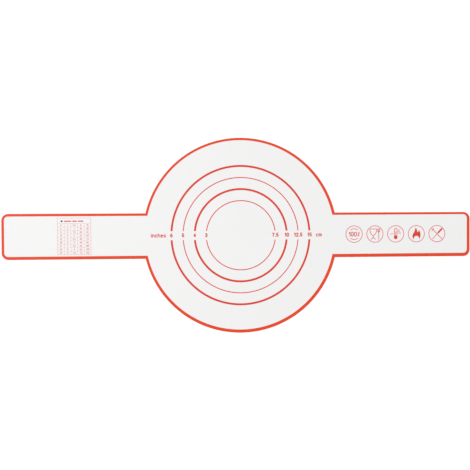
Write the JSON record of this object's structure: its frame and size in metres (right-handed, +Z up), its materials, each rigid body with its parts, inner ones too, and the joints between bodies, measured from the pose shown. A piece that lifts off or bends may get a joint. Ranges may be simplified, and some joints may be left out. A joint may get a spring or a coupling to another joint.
{
  "type": "silicone baking mat",
  "caption": "Round flat baking mat of mesh-cored silicone with two long lifting straps, a red edge band, concentric measuring rings, a table of figures and round pictograms.",
  "frame": {"origin": "middle of the disc, on the underside that lies on the worktop", "axes": "+X along the straps towards the right one with the pictograms, +Y towards the rear, +Z up through the printed face"},
  "size_m": [0.5084, 0.2112, 0.0008],
  "materials": {
    "white_silicone": "satin",
    "red_silicone": "satin",
    "red_ink": "satin",
    "dark_ink": "satin",
    "glass_mesh": "woven"
  },
  "bodies": {
    "disc": {"centimetre_figures": "red_ink", "disc_bottom_coat": "white_silicone", "disc_front_edge_band": "red_silicone", "disc_mesh_core": "glass_mesh", "disc_rear_edge_band": "red_silicone", "disc_top_coat": "white_silicone", "inch_figures": "red_ink", "measuring_ring_3_inch": "red_ink", "measuring_ring_4_inch": "red_ink", "measuring_ring_5_inch": "red_ink", "measuring_ring_6_inch": "red_ink"},
    "left_strap": {"conversion_table_dot": "dark_ink", "conversion_table_figures": "red_ink", "conversion_table_grid": "red_ink", "conversion_table_heading": "red_ink", "left_strap_bottom_coat": "white_silicone", "left_strap_front_edge_band": "red_silicone", "left_strap_mesh_core": "glass_mesh", "left_strap_rear_edge_band": "red_silicone", "left_strap_top_coat": "white_silicone"},
    "left_grip": {"left_grip_bottom_coat": "white_silicone", "left_grip_edge_band": "red_silicone", "left_grip_mesh_core": "glass_mesh", "left_grip_top_coat": "white_silicone"},
    "right_strap": {"icon_flame": "red_ink", "icon_glass_and_fork": "red_ink", "icon_hundred": "red_ink", "icon_thermometer": "red_ink", "right_strap_bottom_coat": "white_silicone", "right_strap_front_edge_band": "red_silicone", "right_strap_mesh_core": "glass_mesh", "right_strap_rear_edge_band": "red_silicone", "right_strap_top_coat": "white_silicone"},
    "right_grip": {"icon_fork_and_knife": "red_ink", "right_grip_bottom_coat": "white_silicone", "right_grip_edge_band": "red_silicone", "right_grip_mesh_core": "glass_mesh", "right_grip_top_coat": "white_silicone"}
  },
  "joints": [
    {"name": "left_lift", "type": "hinge", "parent": "disc", "child": "left_strap", "pos_m": [-0.1086, 0, 0.00035], "axis": [0, 1, 0], "range_deg": [-90, 120], "stiffness_Nm_per_rad": 0.01},
    {"name": "left_grip_fold", "type": "hinge", "parent": "left_strap", "child": "left_grip", "pos_m": [-0.2056, 0, 0.00035], "axis": [0, 1, 0], "range_deg": [-150, 150], "stiffness_Nm_per_rad": 0.01},
    {"name": "right_lift", "type": "hinge", "parent": "disc", "child": "right_strap", "pos_m": [0.1086, 0, 0.00035], "axis": [0, -1, 0], "range_deg": [-90, 120], "stiffness_Nm_per_rad": 0.01},
    {"name": "right_grip_fold", "type": "hinge", "parent": "right_strap", "child": "right_grip", "pos_m": [0.2056, 0, 0.00035], "axis": [0, -1, 0], "range_deg": [-150, 150], "stiffness_Nm_per_rad": 0.01}
  ]
}
